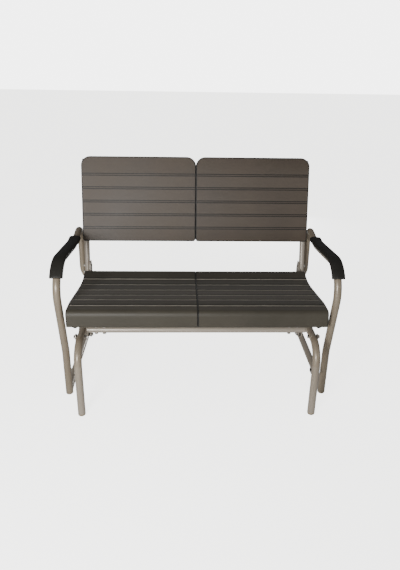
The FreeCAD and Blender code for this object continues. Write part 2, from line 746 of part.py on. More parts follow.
def seat_frame():
    """Side rails and cross rails under the seat."""
    rail_half = "upright_half - 2 * rail_radius - plate_thick"
    rails = []
    for name, side in SIDES:
        start = spot(side, rail_half, "rail_front", "rail_height")
        end = spot(side, rail_half, "rail_back", "rail_height")
        rail = ring(f"seat_side_rail_{name}", "rail_radius", "rail_radius - tube_wall", "rail_back - rail_front")
        keep(rail, f"seat_side_rail_{name}", start, along(Y_AXIS))
        rails.append(bar(start, end, size("rail_radius")))
        plug_places.append((start, along(-Y_AXIS)))
        plug_places.append((end, along(Y_AXIS)))
    for row, depth in (("front", "seat_rail_first"), ("rear", "seat_rail_second")):
        rail = ring(f"seat_rail_blank_{row}", "rail_radius", "rail_radius - tube_wall", f"2 * ({rail_half})")
        drills = [
            bar(at, at + Z_AXIS * size("2 * rail_radius"), size("screw_radius + 0.3"))
            for at in seat_screw_places(depth)
        ]
        trimmed(f"seat_rail_{row}", rail, spot(-1, rail_half, depth, "rail_height"), along(X_AXIS), rails + drills)


def back_frame():
    """Uprights bolted to plates on the side rails, and the two rails behind the back panels."""
    axis_off = "back_thick + rail_radius"
    face = "upright_half - rail_radius - plate_thick"
    reach = size("plate_thick + 2 * rail_radius")
    uprights = []
    bolt_places = []
    for name, side in SIDES:
        low = on_slope(side, "upright_half", axis_off, "-upright_below")
        high = on_slope(side, "upright_half", axis_off, "upright_above")
        holes = [on_slope(side, face, axis_off, f"{step} - upright_below") for step in ("40", "72")]
        drills = [bar(at, at + X_AXIS * side * reach, size("bolt_hole")) for at in holes]
        upright_tube = ring(f"back_upright_blank_{name}", "rail_radius", "rail_radius - tube_wall",
                            "upright_below + upright_above")
        trimmed(f"back_upright_{name}", upright_tube, low, along(high - low), drills)
        uprights.append(bar(low, high, size("rail_radius")))
        bolt_places += [(at, outward(side)) for at in holes]
        plug_places.append((high, along(high - low)))
        plug_places.append((low, along(low - high)))
        plate = new_body(f"corner_plate_blank_{name}")
        sketch = new_sketch(plate, "YZ_Plane")
        add_outline(sketch, (
            ("-48", "-16"), ("38", "-16"), ("44", "30"), ("32", "72"), ("-6", "72"), ("-20", "40"),
            ("-48", "12"),
        ))
        extrude(plate, sketch, "plate_thick")
        inner = face if side > 0 else f"{face} + plate_thick"
        trimmed(f"corner_plate_{name}", plate, spot(side, inner, "rail_back - 34", "rail_height"),
                FreeCAD.Rotation(), drills)
    copies("corner_bolts", bolt("corner_bolt", "plate_thick + 2 * rail_radius + nut_height + 1"), bolt_places)
    copies("corner_nuts", nut("corner_nut"), [
        (at + turn.multVec(Z_AXIS) * reach, turn) for at, turn in bolt_places
    ])
    inward = slope_frame().Rotation.multVec(-Y_AXIS)
    for row, up in (("lower", "back_rail_first"), ("upper", "back_rail_second")):
        rail = ring(f"back_rail_blank_{row}", "back_rail_radius", "back_rail_radius - tube_wall",
                    "2 * upright_half")
        drills = [
            bar(at, at + inward * size("2 * back_rail_radius"), size("screw_radius + 0.3"))
            for at in back_screw_places(up)
        ]
        trimmed(f"back_rail_{row}", rail, on_slope(-1, "upright_half", "back_thick + back_rail_radius", up),
                along(X_AXIS), uprights + drills)
    copies("tube_plugs", tube_plug("tube_plug", "rail_radius"), plug_places)


def panel_ribs(half, count):
    """Distances of a panel's ribs from its edge nearest the middle, as expressions."""
    width = f"({half} - panel_gap / 2)"
    return [f"{number} * ({width} - panel_wall) / {count}" for number in range(count + 1)]


def seat_screw_places(depth):
    """Screws up into the seat panels, on the first and the last inner rib of each."""
    ribs = panel_ribs("seat_half", SEAT_CELLS)
    return [
        spot(side, f"panel_gap / 2 + {ribs[number]} + panel_wall / 2", depth, "rail_height - rail_radius")
        for side in (-1, 1) for number in (1, SEAT_CELLS - 1)
    ]


def back_screw_places(up):
    """Screws through a back rail into the back panels."""
    ribs = panel_ribs("back_half", BACK_CELLS)
    return [
        on_slope(side, f"panel_gap / 2 + {ribs[number]} + panel_wall / 2", "back_thick + 2 * back_rail_radius", up)
        for side in (-1, 1) for number in (1, BACK_CELLS - 1)
    ]


def seat_line(depth):
    """Height of the seat's top at DEPTH, before its bends are rounded, as an expression."""
    fall = f"seat_crest - ({depth} - crest_end) * (seat_crest - seat_dip) / (dip_start - crest_end)"
    rise = f"seat_dip + ({depth} - dip_end) * (seat_rear_top - seat_dip) / (seat_depth - dip_end)"
    return f"min(seat_crest; max({fall}; max(seat_dip; {rise})))"


def near(edge, across, up):
    """Whether EDGE runs along X at the given place, in the body's own frame."""
    box = edge.BoundBox
    return (box.YLength < 0.1 and box.ZLength < 0.1
            and abs(box.YMin - across) < 0.5 and abs(box.ZMin - up) < 0.5)


def seat_panels():
    """Two moulded seat panels: a lip in front, double grooves on top, walls and ribs below."""
    body = new_body("seat_panel")
    width = "seat_half - panel_gap / 2"
    under = "rail_height + rail_radius"
    profile = new_sketch(body, "YZ_Plane")
    add_outline(profile, (
        ("0", "lip_bottom"), ("0", "seat_crest"), ("crest_end", "seat_crest"), ("dip_start", "seat_dip"),
        ("dip_end", "seat_dip"), ("seat_depth", "seat_rear_top"), ("seat_depth", under),
        ("lip_thick", under), ("lip_thick", "lip_bottom"),
    ))
    extrude(body, profile, width)
    bends = (
        ("lip_round", "0", "seat_crest"), ("250", "crest_end", "seat_crest"),
        ("200", "dip_start", "seat_dip"), ("120", "dip_end", "seat_dip"),
        ("7", "seat_depth", "seat_rear_top"), ("6", "0", "lip_bottom"),
    )
    for radius, across, up in bends:
        rounded(body, radius, lambda edge: near(edge, size(across), size(up)))
    top = size(under) + 5
    rounded(body, "edge_round", lambda edge: (
        edge.BoundBox.XLength < 0.1 and edge.BoundBox.ZMin > top
        and not (edge.BoundBox.YLength < 0.1 and edge.BoundBox.YMin > 400)
        and not (edge.BoundBox.YLength < 0.1 and edge.BoundBox.YMin > 0.1)
    ))
    for number in range(SEAT_GROOVES):
        groove = new_sketch(body, "YZ_Plane")
        for shift in (-0.5, 0.5):
            middle = f"seat_groove_first + {number} * seat_groove_pitch + ({shift}) * groove_apart"
            bottom = f"{seat_line(middle)} - groove_depth"
            add_outline(groove, (
                (f"{middle} - groove_width / 2", bottom), (f"{middle} + groove_width / 2", bottom),
                (f"{middle} + groove_width / 2", "seat_crest + 5"),
                (f"{middle} - groove_width / 2", "seat_crest + 5"),
            ))
        extrude(body, groove, width, kind="Pocket", back=True)
    seat_cavities(body, width, under)
    copies("seat_panel_right", body, [(spot(1, "panel_gap / 2", "0", "0"), upright())])
    copies("seat_panel_left", body, [(spot(-1, "seat_half", "0", "0"), upright())])
    places = seat_screw_places("seat_rail_first") + seat_screw_places("seat_rail_second")
    copies("seat_screws", screw("seat_screw", "2 * rail_radius + boss_hole - 1"),
           [(at, upright()) for at in places])


def seat_cavities(body, width, under):
    """The hollows between a seat panel's ribs, and the bosses for its screws."""
    rows = ("panel_face", "seat_depth / 3", "2 * seat_depth / 3", "seat_depth - panel_wall")
    hollow = new_sketch(body, "YZ_Plane")
    hollow.setExpression(".AttachmentOffset.Base.z", full("panel_wall"))
    roof = "seat_crest - panel_face"
    round_off = "(lip_round - 4)"
    for number, (start, end) in enumerate(zip(rows, rows[1:])):
        first = start if number == 0 else f"{start} + panel_wall / 2"
        last = end if number == 2 else f"{end} - panel_wall / 2"
        low = "lip_bottom - 1"
        if number == 0:
            outline = [
                (first, low), (first, f"{roof} - {round_off}"), (f"{first} + {round_off}", roof),
                ("crest_end", roof), (last, f"{seat_line(last)} - panel_face"), (last, low),
            ]
        elif number == 1:
            outline = [
                (first, low), (first, f"{seat_line(first)} - panel_face"),
                (last, f"{seat_line(last)} - panel_face"), (last, low),
            ]
        else:
            outline = [
                (first, low), (first, f"{seat_line(first)} - panel_face"),
                ("dip_start", "seat_dip - panel_face"), ("dip_end", "seat_dip - panel_face"),
                (last, f"{seat_line(last)} - 2 * panel_face"), (last, low),
            ]
        add_outline(hollow, outline)
    pitch = f"({width} - panel_wall) / {SEAT_CELLS}"
    pocket = extrude(body, hollow, f"{pitch} - panel_wall", kind="Pocket", back=True)
    pattern(body, pocket, "X_Axis", pitch, SEAT_CELLS)
    ribs = panel_ribs("seat_half", SEAT_CELLS)
    for depth in ("seat_rail_first", "seat_rail_second"):
        for radius, length, kind in (
            ("boss_radius", f"{seat_line(depth)} - panel_face / 2 - ({under})", "Pad"),
            ("screw_radius", "boss_hole", "Pocket"),
        ):
            bosses = new_sketch(body, "XY_Plane")
            bosses.setExpression(".AttachmentOffset.Base.z", full(under))
            for number in (1, SEAT_CELLS - 1):
                add_circle(bosses, radius, f"{ribs[number]} + panel_wall / 2", depth)
            extrude(body, bosses, length, kind=kind, back=kind == "Pocket")


def axis_of(body, role):
    return next(part for part in body.Origin.OriginFeatures if part.Role == role)


def back_panels():
    """Two moulded back panels: rounded upper corners, double grooves in front, walls and ribs behind."""
    body = new_body("back_panel")
    width = "(back_half - panel_gap / 2)"
    outline = new_sketch(body, "XZ_Plane")
    add_outline(outline, (("0", "0"), (width, "0"), (width, "back_length"), ("0", "back_length")))
    extrude(body, outline, "back_thick", back=True)
    middle = size("back_length") / 2
    rounded(body, "back_corner", lambda edge: across_thickness(edge) and edge.BoundBox.ZMin > middle)
    rounded(body, "back_low_corner", lambda edge: across_thickness(edge) and edge.BoundBox.ZMax < middle
            and edge.BoundBox.XLength < 0.1)
    rounded(body, "edge_round", lambda edge: edge.BoundBox.YMax < 0.1)
    groove = new_sketch(body, "XZ_Plane")
    for shift in (-0.5, 0.5):
        line = f"back_groove_first + ({shift}) * groove_apart"
        add_outline(groove, (
            ("-1", f"{line} - groove_width / 2"), (f"{width} + 1", f"{line} - groove_width / 2"),
            (f"{width} + 1", f"{line} + groove_width / 2"), ("-1", f"{line} + groove_width / 2"),
        ))
    pattern(body, extrude(body, groove, "groove_depth", kind="Pocket"), "Z_Axis",
            "back_groove_pitch", BACK_GROOVES)
    deep = "back_thick - panel_face"
    hollow = rear_sketch(body)
    add_round_box(hollow, "panel_wall", width, "back_length", "back_corner", "back_low_corner")
    extrude(body, hollow, deep, kind="Pocket", back=True)
    column_pitch = f"({width} - panel_wall) / {BACK_CELLS}"
    column = front_sketch(body, "panel_face / 2")
    add_outline(column, (
        (column_pitch, "panel_wall / 2"), (f"{column_pitch} + panel_wall", "panel_wall / 2"),
        (f"{column_pitch} + panel_wall", "back_length - panel_wall / 2"),
        (column_pitch, "back_length - panel_wall / 2"),
    ))
    rib_height = "back_thick - rib_inset - panel_face / 2"
    pattern(body, extrude(body, column, rib_height, back=True), "X_Axis", column_pitch, BACK_CELLS - 1)
    row_pitch = f"(back_length - panel_wall) / {BACK_ROWS}"
    row = front_sketch(body, "panel_face / 2")
    add_outline(row, (
        ("panel_wall / 2", row_pitch), (f"{width} - panel_wall / 2", row_pitch),
        (f"{width} - panel_wall / 2", f"{row_pitch} + panel_wall"), ("panel_wall / 2", f"{row_pitch} + panel_wall"),
    ))
    pattern(body, extrude(body, row, rib_height, back=True), "Z_Axis", row_pitch, BACK_ROWS - 1)
    ribs = panel_ribs("back_half", BACK_CELLS)
    bosses = front_sketch(body, "panel_face / 2")
    holes = rear_sketch(body)
    for number in (1, BACK_CELLS - 1):
        for up in ("back_rail_first", "back_rail_second"):
            add_circle(bosses, "boss_radius", f"{ribs[number]} + panel_wall / 2", up)
            add_circle(holes, "screw_radius", f"{ribs[number]} + panel_wall / 2", up)
    extrude(body, bosses, "back_thick - panel_face / 2", back=True)
    extrude(body, holes, "boss_hole", kind="Pocket", back=True)
    turn = slope_frame().Rotation
    copies("back_panel_right", body, [(on_slope(1, "panel_gap / 2", "0", "0"), turn)])
    copies("back_panel_left", body, [(on_slope(-1, "back_half", "0", "0"), turn)])
    inward = along(turn.multVec(-Y_AXIS))
    places = back_screw_places("back_rail_first") + back_screw_places("back_rail_second")
    copies("back_screws", screw("back_screw", "2 * back_rail_radius + boss_hole - 1"),
           [(at, inward) for at in places])


def across_thickness(edge):
    """Whether EDGE runs straight through the thickness of a back panel."""
    box = edge.BoundBox
    return box.XLength < 0.1 and box.ZLength < 0.1


def front_sketch(body, depth):
    """A sketch parallel to the front of a back panel, DEPTH behind it."""
    sketch = new_sketch(body, "XZ_Plane")
    sketch.setExpression(".AttachmentOffset.Base.z", full(f"-({depth})"))
    return sketch


def rear_sketch(body):
    return front_sketch(body, "back_thick")


def pattern(body, feature, role, pitch, count):
    """Repeat FEATURE along one of the body's axes."""
    doc.recompute()
    row = body.newObject("PartDesign::LinearPattern", f"{feature.Name}_row")
    row.Originals = [feature]
    row.Direction = (axis_of(body, role), [""])
    row.setExpression("Length", full(f"{pitch} * {count - 1}"))
    row.Occurrences = count
    body.Tip = row
    return row


side_hoops()
front_legs()
foot_caps()
cross_tubes()
runners()
rear_legs()
glides()
arm_pads()
upper_pivots()
links()
hangers()
seat_frame()
back_frame()
seat_panels()
back_panels()

doc.recompute()
troubled = [item.Label for item in doc.Objects if {"Invalid", "Error"} & set(item.State)]
troubled += [node.Label for node in nodes if node.Shape.isNull() or not node.Shape.isValid()]
if troubled:
    raise RuntimeError(f"pieces in trouble: {troubled}")

os.makedirs("parts", exist_ok=True)
for node in nodes:
    node.Shape.exportStep(f"parts/{node.Label}.step")
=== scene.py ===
"""Looks of the glider bench around its fixed frame: coats, mouldings, light and camera. Metres throughout."""

import json
import math

import bmesh
import bpy
import numpy as np
from mathutils import Matrix, Vector


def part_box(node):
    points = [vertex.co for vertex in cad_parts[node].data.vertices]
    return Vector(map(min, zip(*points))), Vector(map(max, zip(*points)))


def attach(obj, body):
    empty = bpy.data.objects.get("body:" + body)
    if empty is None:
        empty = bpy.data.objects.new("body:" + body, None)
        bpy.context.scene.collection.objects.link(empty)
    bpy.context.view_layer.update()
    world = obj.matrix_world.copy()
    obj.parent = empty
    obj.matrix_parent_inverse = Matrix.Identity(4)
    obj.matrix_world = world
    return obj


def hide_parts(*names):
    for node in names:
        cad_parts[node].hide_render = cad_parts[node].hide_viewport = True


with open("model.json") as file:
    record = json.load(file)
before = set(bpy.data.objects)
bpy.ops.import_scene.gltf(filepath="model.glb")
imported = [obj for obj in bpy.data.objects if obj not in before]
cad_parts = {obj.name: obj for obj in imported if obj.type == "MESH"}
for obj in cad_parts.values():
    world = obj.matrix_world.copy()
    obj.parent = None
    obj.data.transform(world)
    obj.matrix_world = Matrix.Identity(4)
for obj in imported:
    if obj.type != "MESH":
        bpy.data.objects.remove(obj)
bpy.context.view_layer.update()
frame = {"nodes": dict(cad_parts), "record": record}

nodes = frame["nodes"]
slots = {row["node"]: row["material_slot"] for row in frame["record"]["subparts"]}
SMOOTH_BELOW = math.radians(32)

# Camera, as fitted to the photograph
PHOTO_WIDTH = 400
FOCAL_PIXELS = 551.0
CAMERA_PLACE = (-0.066, -1.985, 1.420)
CAMERA_PITCH = math.radians(23.31)
CAMERA_YAW = math.radians(2.06)
CAMERA_ROLL = math.radians(0.96)
SENSOR_WIDTH = 36.0
NEAR_CLIP = 0.05

# How bright the floor and the backdrop look, and how much light the backdrop gives
FLOOR_GLOW = 3.2
BACKDROP = 5.0
WORLD_LIGHT = 0.17
FLOOR_SIZE = 24.0
FLOOR_MIDDLE = (0, 6.0, 0)

# Square lamps: name, place, what they face, width and power in watts
LAMPS = (
    ("key", (-0.95, -2.5, 1.15), (-0.1, 0.1, 0.55), 0.7, 66.0),
    ("side", (-3.0, -1.2, 1.4), (0.0, 0.2, 0.5), 1.2, 6.0),
    ("right", (2.7, -1.8, 1.2), (0.2, 0.2, 0.4), 1.0, 7.0),
    ("top", (0.4, 0.4, 3.2), (0.0, 0.2, 0.4), 1.8, 2.5),
    ("rear", (0.7, 2.8, 0.15), (0.0, 0.3, 0.65), 0.25, 18.0),
)

# The seat's front edge, which the camera's place and every depth below are measured from
lip_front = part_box("seat_panel_left")[0][1]

SIDES = (("left", -1), ("right", 1))
X_AXIS = Vector((1.0, 0.0, 0.0))
Y_AXIS = Vector((0.0, 1.0, 0.0))
TUBE_RADIUS = 0.015875
RUN_HEIGHT = 0.315
RUNNER_HEIGHT = 0.020

# How finely round forms are drawn, and what counts as one point or as a heading along an axis
TUBE_SIDES = 32
ARC_STEP = math.radians(5.0)
FEWEST_STEPS = 3
END_STEPS = 6
SAME_POINT = 1e-6
NEARLY_ALONG = 0.9

# The side hoops: half spread of the arms, of the rear and of the inward ends, the arm leg's depth,
# and depth and height of the corners
ARM_HALF = 0.562
REAR_HALF = 0.567
HOOP_END = 0.380
ARM_LEG = 0.090
SOLE = 0.0004
LEG_KINK = (0.088, 0.215)
ARM_FRONT = (-0.012, 0.628)
ARM_LOW = (0.430, 0.580)
ARM_BACK = (0.648, 0.606)
REAR_CORNER = (0.632, RUN_HEIGHT)
RUNNER_JOINT = 0.225
HOOP_BENDS = (0.120, 0.110, 0.300, 0.060, 0.080)
FOOT_ROUND = 0.007

# Runs of a hoop's route, counted from its foot: the front bend, and the last run that the pad covers
FRONT_BEND = 3
LAST_COVERED = 6

# The arm pads: outline across, how much of the front bend stays bare, how deep they reach, their screws
PAD_HALF = 0.027
PAD_RIM = 0.012
PAD_OVER = 0.0085
PAD_ROUND = 0.010
PAD_DOME = 0.002
PAD_SHOULDER_STEPS = 5
PAD_CROWN = (0.6, 0.2, -0.2, -0.6)
PAD_CHANNEL_POINTS = 7
PAD_END_ROUND = 0.004
PAD_END_DEPTH = PAD_ROUND * 0.8
PAD_END_STEPS = 4
PAD_WRAP = 0.41
PAD_BACK = 0.474
PAD_SCREWS = (0.195, 0.370)
SCREW_HEAD = 0.0045
SCREW_STANDS_OUT = 0.0022
SCREW_LENGTH = 0.0040
SCREW_ROUND = 0.0015

# The front hangers: heights of foot and head, depth of the lower pivot, how far behind it the head of
# the kept solid and of the seen plate stands, and how wide the seen head is beside the kept one
HANGER_FOOT = 0.143
HANGER_NECK = 0.3535
HANGER_PIVOT = 0.035
HANGER_KEPT = 0.021
HANGER_SEEN = 0.245
HANGER_HEAD = 0.7

# The panels: where the kept solids have their grooves and ends, and where the photograph shows them.
# The back's heights run along its lean from its foot, and all gaps and halves lie across
SEAT_DEPTHS = (0.0, 0.068, 0.134, 0.200, 0.266, 0.332, 0.398, 0.451)
SEAT_SEEN = (0.0, 0.061, 0.130, 0.199, 0.278, 0.3586, 0.425, 0.495)
BACK_FOOT = (0.556, 0.555)
BACK_LEAN = math.radians(13.0)
BACK_HEIGHTS = (-0.1, 0.0, 0.061, 0.311, 0.400, 0.5)
BACK_SEEN = (-0.1, 0.0, 0.065, 0.316, 0.3998, 0.4998)
BACK_GROOVES = (0.065, 0.12775, 0.1905, 0.25325, 0.316)
KEPT_GAP = 0.0025
SEEN_GAP = 0.00002
GROOVE_APART = 0.0084
# Half widths of the painted shade along the seat's middle gap and sides, and round the back panels' rims
MIDDLE_SHADE = 0.0042
RIM_SHADE = 0.0050
KEPT_SEAT_HALF = 0.528
SEAT_HALF = 0.532
KEPT_BACK_HALF = 0.545
BACK_HALF = 0.543
BACK_LENGTH = 0.400
BACK_TOP_CORNER = 0.045
BACK_LOW_CORNER = 0.012
BACK_CORNERS_CHANGE = (0.19, 0.21)

# Painted shade and painted highlight on the panels, as lines along the grooves and along edges: half width
# and cover of a line, how softly it ends, and how much of a turned edge or a rim gets painted shade
SEAT_SHADED = (0.0055, 0.75)
# The seat's light lines are painted highlight along the front of each groove, where its wall would catch the
# light
SEAT_HIGHLIGHT = (0.0030, 0.80)
BACK_SHADED = (0.0023, 0.85)
LINE_ENDS = (1.2, 0.8)
RIM_ENDS = (1.25, 0.75)
TURNED_FROM = (0.25, 0.75)
EDGE_COVER = 0.85
RIM_COVER = 0.88

# Pointiness at which an edge begins to look worn, and at which it is worn through
WORN_FROM = (0.52, 0.62)


def linear(value):
    """A display value from 0 to 255 as linear light."""
    share = value / 255
    return share / 12.92 if share <= 0.04045 else ((share + 0.055) / 1.055) ** 2.4


def colour(red, green, blue):
    return (linear(red), linear(green), linear(blue), 1.0)


class Graph:
    """A material's nodes, added one after another."""

    def __init__(self, name):
        self.material = bpy.data.materials.new(name)
        self.material.use_nodes = True
        self.tree = self.material.node_tree
        self.shader = self.tree.nodes["Principled BSDF"]

    def add(self, kind, **values):
        node = self.tree.nodes.new(kind)
        for name, value in values.items():
            if name in node.bl_rna.properties:
                setattr(node, name, value)
            else:
                self.put(value, node.inputs[name.replace("_", " ")])
        return node

    def put(self, value, socket):
        """Set a socket, or link another node's socket to it."""
        if isinstance(value, bpy.types.NodeSocket):
            self.tree.links.new(value, socket)
        else:
            socket.default_value = value

    def coordinates(self, scale=(1, 1, 1)):
        """Object coordinates, in metres, stretched by SCALE."""
        texture = self.add("ShaderNodeTexCoord")
        mapping = self.add("ShaderNodeMapping", Vector=texture.outputs["Object"], Scale=scale)
        return mapping.outputs["Vector"]

    def noise(self, where, scale, detail, rough):
        node = self.add("ShaderNodeTexNoise", Vector=where, Scale=scale, Detail=detail, Roughness=rough)
        return node.outputs["Fac"]

    def cells(self, where, scale):
        node = self.add("ShaderNodeTexVoronoi", Vector=where, Scale=scale)
        return node.outputs["Distance"]

    def between(self, value, low, high, start=0.0, end=1.0):
        node = self.add("ShaderNodeMapRange")
        for socket, item in zip(node.inputs, (value, low, high, start, end)):
            self.put(item, socket)
        return node.outputs["Result"]

    def math(self, operation, first, second=0.0):
        node = self.add("ShaderNodeMath", operation=operation)
        self.put(first, node.inputs[0])
        self.put(second, node.inputs[1])
        return node.outputs["Value"]

    def mix(self, share, first, second):
        node = self.add("ShaderNodeMix", data_type="RGBA")
        self.put(share, node.inputs["Factor"])
        self.put(first, node.inputs["A"])
        self.put(second, node.inputs["B"])
        return node.outputs["Result"]

    def bump(self, height, distance, strength, under=None):
        node = self.add("ShaderNodeBump", Height=height, Distance=distance, Strength=strength)
        if under is not None:
            self.put(under, node.inputs["Normal"])
        return node.outputs["Normal"]

    def finish(self, **values):
        for name, value in values.items():
            self.put(value, self.shader.inputs[name.replace("_", " ")])
        return self.material


def route(corners, bends):
    """Straight runs and arcs, by turns, each as a list of points."""
    corners = [Vector(corner) for corner in corners]
    runs = []
    start = corners[0]
    for before, corner, after, bend in zip(corners, corners[1:], corners[2:], bends):
        back = (before - corner).normalized()
        on = (after - corner).normalized()
        half = back.angle(on) / 2
        first = corner + back * bend / math.tan(half)
        centre = corner + (back + on).normalized() * bend / math.sin(half)
        turn = math.pi - 2 * half
        steps = max(FEWEST_STEPS, math.ceil(turn / ARC_STEP))
        runs.append([start, first])
        axis = back.cross(on).normalized()
        runs.append([
            centre + Matrix.Rotation(-turn * step / steps, 3, axis) @ (first - centre)
            for step in range(steps + 1)
        ])
        start = runs[-1][-1]
    runs.append([start, corners[-1]])
    return runs


def joined(runs):
    """The points of several runs, without the repeated ones."""
    points = []
    for run in runs:
        points += [point for point in run if not points or (point - points[-1]).length > SAME_POINT]
    return points


def sweep(mesh, points, sections):
    """Join closed sections, given as (across, up) pairs, along POINTS. Up is square to the path."""
    rings = []
    side = None
    for index, point in enumerate(points):
        behind = points[max(index - 1, 0)]
        ahead = points[min(index + 1, len(points) - 1)]
        heading = (ahead - behind).normalized()
        if side is None:
            side = X_AXIS if abs(heading.x) < NEARLY_ALONG else Y_AXIS
        side = (side - heading * side.dot(heading)).normalized()
        rise = side.cross(heading)
        rings.append([mesh.verts.new(point + side * across + rise * up) for across, up in sections[index]])
    for ring, following in zip(rings, rings[1:]):
        for index in range(len(ring)):
            after = (index + 1) % len(ring)
            mesh.faces.new((ring[index], ring[after], following[after], following[index]))
    mesh.faces.new(rings[0][::-1])
    mesh.faces.new(rings[-1])


def circle(radius):
    turns = [math.tau * step / TUBE_SIDES for step in range(TUBE_SIDES)]
    return [(radius * math.cos(turn), radius * math.sin(turn)) for turn in turns]


def quarter(count):
    """The angles of a quarter turn in COUNT steps."""
    return [(math.pi / 2) * step / count for step in range(count + 1)]


def round_bar(mesh, points, radius=TUBE_RADIUS, first_round=0.0):
    """A closed round bar along POINTS, with its first end rounded over."""
    radii = [radius] * len(points)
    if first_round:
        heading = (points[1] - points[0]).normalized()
        start = points[0]
        lead = quarter(END_STEPS)
        points = [start + heading * first_round * (1 - math.cos(turn)) for turn in lead] + points[1:]
        radii = [radius - first_round * (1 - math.sin(turn)) for turn in lead] + radii[1:]
    sweep(mesh, points, [circle(value) for value in radii])


def piece_from(mesh, name, node, material):
    """A new piece that stands for NODE, on the node's body and with its finish."""
    bmesh.ops.recalc_face_normals(mesh, faces=mesh.faces)
    data = bpy.data.meshes.new(name)
    mesh.to_mesh(data)
    mesh.free()
    data.materials.append(material)
    stands_for(data, name, node)


def stands_for(data, name, node):
    """A piece made of the mesh DATA that replaces NODE."""
    piece = bpy.data.objects.new(name, data)
    bpy.context.scene.collection.objects.link(piece)
    data.shade_smooth()
    data.set_sharp_from_angle(angle=SMOOTH_BELOW)
    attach(piece, body_of(node))
    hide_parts(node)


def body_of(node):
    bodies = frame["record"]["behaviour"]["bodies"]
    return next(body for body, names in bodies.items() if node in names)


def place(side, half, spot):
    """A point on one side, from its depth behind the seat's front edge and its height."""
    depth, height = spot
    return Vector((side * half, lip_front + depth, height))


def hoop_route(side):
    """The middle line of a side tube, from its foot to its inward end."""
    return route((
        place(side, ARM_HALF, (ARM_LEG, SOLE)),
        place(side, ARM_HALF, LEG_KINK),
        place(side, ARM_HALF, ARM_FRONT),
        place(side, ARM_HALF, ARM_LOW),
        place(side, REAR_HALF, ARM_BACK),
        place(side, REAR_HALF, REAR_CORNER),
        place(side, HOOP_END, REAR_CORNER),
    ), HOOP_BENDS)


def hoops(coat):
    """The bent side tubes as the photograph shows them: a foot on the floor and a dipped arm."""
    for name, side in SIDES:
        mesh = bmesh.new()
        round_bar(mesh, joined(hoop_route(side)), first_round=FOOT_ROUND)
        stub = [
            place(side, ARM_HALF, (ARM_LEG, RUNNER_HEIGHT)),
            place(side, REAR_HALF, (RUNNER_JOINT, RUNNER_HEIGHT)),
        ]
        round_bar(mesh, stub)
        piece_from(mesh, f"hoop_tube_{name}", f"side_hoop_{name}", coat)


def pad_points(side):
    """The part of a hoop that its pad covers, from the front bend to behind the dip."""
    runs = hoop_route(side)
    bend = runs[FRONT_BEND]
    covered = [bend[math.ceil(len(bend) * PAD_WRAP):]] + runs[FRONT_BEND + 1:LAST_COVERED + 1]
    points = joined(covered)
    last = lip_front + PAD_BACK
    kept = [point for point in points if point.y < last]
    start = kept[-1]
    following = points[len(kept)]
    kept.append(start.lerp(following, (last - start.y) / (following.y - start.y)))
    return kept


def pad_section():
    """Outline across a pad: thin sides, round shoulders, a domed top and a channel for the tube."""
    top = TUBE_RADIUS + PAD_OVER
    right = [
        (PAD_HALF - PAD_ROUND * (1 - math.cos(turn)), top - PAD_ROUND * (1 - math.sin(turn)))
        for turn in quarter(PAD_SHOULDER_STEPS)
    ]
    flat = PAD_HALF - PAD_ROUND
    crown = [(flat * share, top + PAD_DOME * (1 - share ** 2)) for share in PAD_CROWN]
    channel_half = math.acos(PAD_RIM / TUBE_RADIUS)
    channel = [
        (TUBE_RADIUS * math.sin(turn), TUBE_RADIUS * math.cos(turn))
        for turn in np.linspace(-channel_half, channel_half, PAD_CHANNEL_POINTS)
    ]
    left = [(-across, up) for across, up in reversed(right)]
    return [(PAD_HALF, PAD_RIM), *right, *crown, *left, (-PAD_HALF, PAD_RIM), *channel]


def pads(rubber):
    """The arm pads along the arms, with both ends rounded over."""
    section = pad_section()
    middle = PAD_RIM + (TUBE_RADIUS + PAD_OVER - PAD_RIM) / 2
    drawn_in = [PAD_END_ROUND * (1 - math.sin(turn)) for turn in quarter(PAD_END_STEPS)]
    reach = [PAD_END_ROUND * (1 - math.cos(turn)) for turn in quarter(PAD_END_STEPS)]
    for name, side in SIDES:
        points = pad_points(side)
        front_way = (points[1] - points[0]).normalized()
        back_way = (points[-1] - points[-2]).normalized()
        line = [points[0] + front_way * value for value in reach]
        line += points[1:-1]
        line += [points[-1] - back_way * value for value in reversed(reach)]
        insets = drawn_in + [0.0] * (len(points) - 2) + drawn_in[::-1]
        sections = [
            [
                (across * (1 - inset / PAD_HALF), middle + (up - middle) * (1 - inset / PAD_END_DEPTH))
                for across, up in section
            ]
            for inset in insets
        ]
        mesh = bmesh.new()
        sweep(mesh, line, sections)
        piece_from(mesh, f"arm_grip_{name}", f"arm_pad_{name}", rubber)


def pad_screws(zinc):
    """Round screw heads under the arms."""
    mesh = bmesh.new()
    for name, side in SIDES:
        front = place(side, ARM_HALF, ARM_FRONT)
        heading = (place(side, ARM_HALF, ARM_LOW) - front).normalized()
        rise = X_AXIS.cross(heading)
        for reach in PAD_SCREWS:
            head = front + heading * reach - rise * (TUBE_RADIUS + SCREW_STANDS_OUT)
            screw = [head, head + rise * SCREW_LENGTH]
            round_bar(mesh, screw, radius=SCREW_HEAD, first_round=SCREW_ROUND)
    piece_from(mesh, "arm_screw_heads", "arm_pad_screws", zinc)


